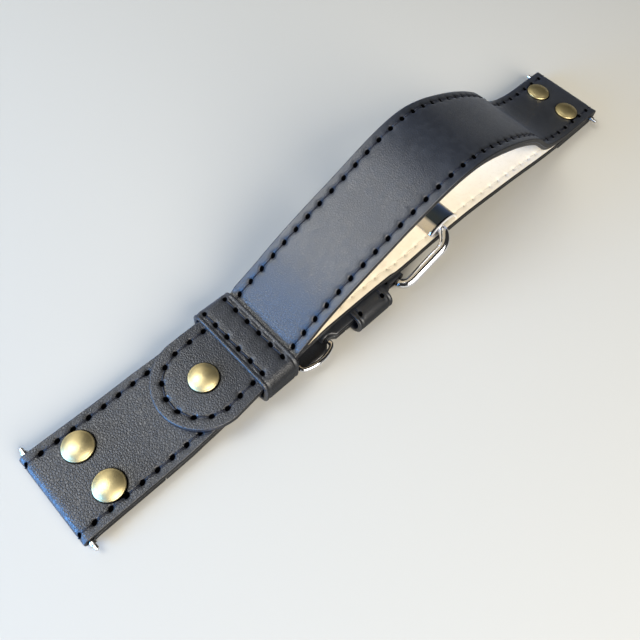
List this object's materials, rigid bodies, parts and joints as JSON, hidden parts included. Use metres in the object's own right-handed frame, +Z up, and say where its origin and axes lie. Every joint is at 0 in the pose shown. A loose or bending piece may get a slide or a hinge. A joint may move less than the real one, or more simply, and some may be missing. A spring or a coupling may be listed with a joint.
{
  "type": "leather watch strap",
  "caption": "Riveted black leather watch strap with a round tab, keepers, a wire ring, a buckle with an arched front bar, and spring bars in folded ends, lying closed.",
  "frame": {"origin": "on the table, under the middle of the closed strap", "axes": "+X along the strap from lug A at the riveted short strap to lug B, +Y across it towards the far edge in the picture, +Z up from the table"},
  "size_m": [0.165, 0.0268, 0.0289],
  "materials": {
    "black_leather": "grained, semi-gloss",
    "cream_lining": "smooth, matt",
    "dark_thread": "waxed thread",
    "aged_brass": "aged, satin",
    "polished_steel": "polished",
    "bar_steel": "satin"
  },
  "bodies": {
    "strap": {"short_strap_leather": "black_leather", "short_strap_lining": "cream_lining", "short_strap_thread": "dark_thread", "short_strap_rivet_caps": "aged_brass", "short_strap_rivet_backs": "aged_brass", "bar_a_tube": "bar_steel", "bar_a_spring": "bar_steel", "upper_strap_leather": "black_leather", "upper_strap_lining": "cream_lining", "upper_strap_thread": "dark_thread", "tab_rivet_cap": "aged_brass", "tab_rivet_back": "aged_brass", "lower_strap_leather": "black_leather", "lower_strap_lining": "cream_lining", "lower_strap_thread": "dark_thread", "lug_b_rivet_caps": "aged_brass", "lug_b_rivet_backs": "aged_brass", "bar_b_tube": "bar_steel", "bar_b_spring": "bar_steel", "wide_keeper": "black_leather", "wide_keeper_thread": "dark_thread", "ring_guard": "black_leather", "buckle_band_leather": "black_leather", "buckle_band_lining": "cream_lining", "buckle_band_thread": "dark_thread", "buckle_bar_tube": "bar_steel", "buckle_bar_spring": "bar_steel"},
    "small_keeper": {"small_keeper": "black_leather", "small_keeper_thread": "dark_thread"},
    "link_ring": {"link_ring": "polished_steel"},
    "buckle_frame": {"buckle_frame": "polished_steel"},
    "buckle_tongue": {"buckle_tongue": "polished_steel"},
    "bar_a_near_tip": {"bar_a_near_tip": "bar_steel"},
    "bar_a_far_tip": {"bar_a_far_tip": "bar_steel"},
    "bar_b_near_tip": {"bar_b_near_tip": "bar_steel"},
    "bar_b_far_tip": {"bar_b_far_tip": "bar_steel"},
    "buckle_bar_near_tip": {"buckle_bar_near_tip": "bar_steel"},
    "buckle_bar_far_tip": {"buckle_bar_far_tip": "bar_steel"}
  },
  "joints": [
    {"name": "bar_a_near_tip_push", "type": "slide", "parent": "strap", "child": "bar_a_near_tip", "axis": [0, 1, 0], "range_m": [0, 0.0014], "stiffness_N_per_m": 300, "springref_m": -0.001, "deforming": ["bar_a_spring"]},
    {"name": "bar_a_far_tip_push", "type": "slide", "parent": "strap", "child": "bar_a_far_tip", "axis": [0, -1, 0], "range_m": [0, 0.0014], "stiffness_N_per_m": 300, "springref_m": -0.001, "deforming": ["bar_a_spring"]},
    {"name": "bar_b_near_tip_push", "type": "slide", "parent": "strap", "child": "bar_b_near_tip", "axis": [0, 1, 0], "range_m": [0, 0.0014], "stiffness_N_per_m": 300, "springref_m": -0.001, "deforming": ["bar_b_spring"]},
    {"name": "bar_b_far_tip_push", "type": "slide", "parent": "strap", "child": "bar_b_far_tip", "axis": [0, -1, 0], "range_m": [0, 0.0014], "stiffness_N_per_m": 300, "springref_m": -0.001, "deforming": ["bar_b_spring"]},
    {"name": "buckle_bar_near_tip_push", "type": "slide", "parent": "strap", "child": "buckle_bar_near_tip", "axis": [0, 1, 0], "range_m": [0, 0.0014], "stiffness_N_per_m": 300, "springref_m": -0.001, "deforming": ["buckle_bar_spring"]},
    {"name": "buckle_bar_far_tip_push", "type": "slide", "parent": "strap", "child": "buckle_bar_far_tip", "axis": [0, -1, 0], "range_m": [0, 0.0014], "stiffness_N_per_m": 300, "springref_m": -0.001, "deforming": ["buckle_bar_spring"]},
    {"name": "buckle_frame_hinge", "type": "hinge", "parent": "strap", "child": "buckle_frame", "pos_m": [-0.002, 0, 0.00245], "axis": [0, -1, 0], "range_deg": [0, 16]},
    {"name": "buckle_tongue_hinge", "type": "hinge", "parent": "buckle_frame", "child": "buckle_tongue", "pos_m": [-0.002, 0, 0.00245], "axis": [0, -1, 0], "range_deg": [0, 16]},
    {"name": "small_keeper_slide", "type": "slide", "parent": "strap", "child": "small_keeper", "axis": [1, 0, 0], "range_m": [-0.0055, 0.001]},
    {"name": "link_ring_slide", "type": "slide", "parent": "strap", "child": "link_ring", "axis": [0, 1, 0], "range_m": [0, 0.001]}
  ]
}
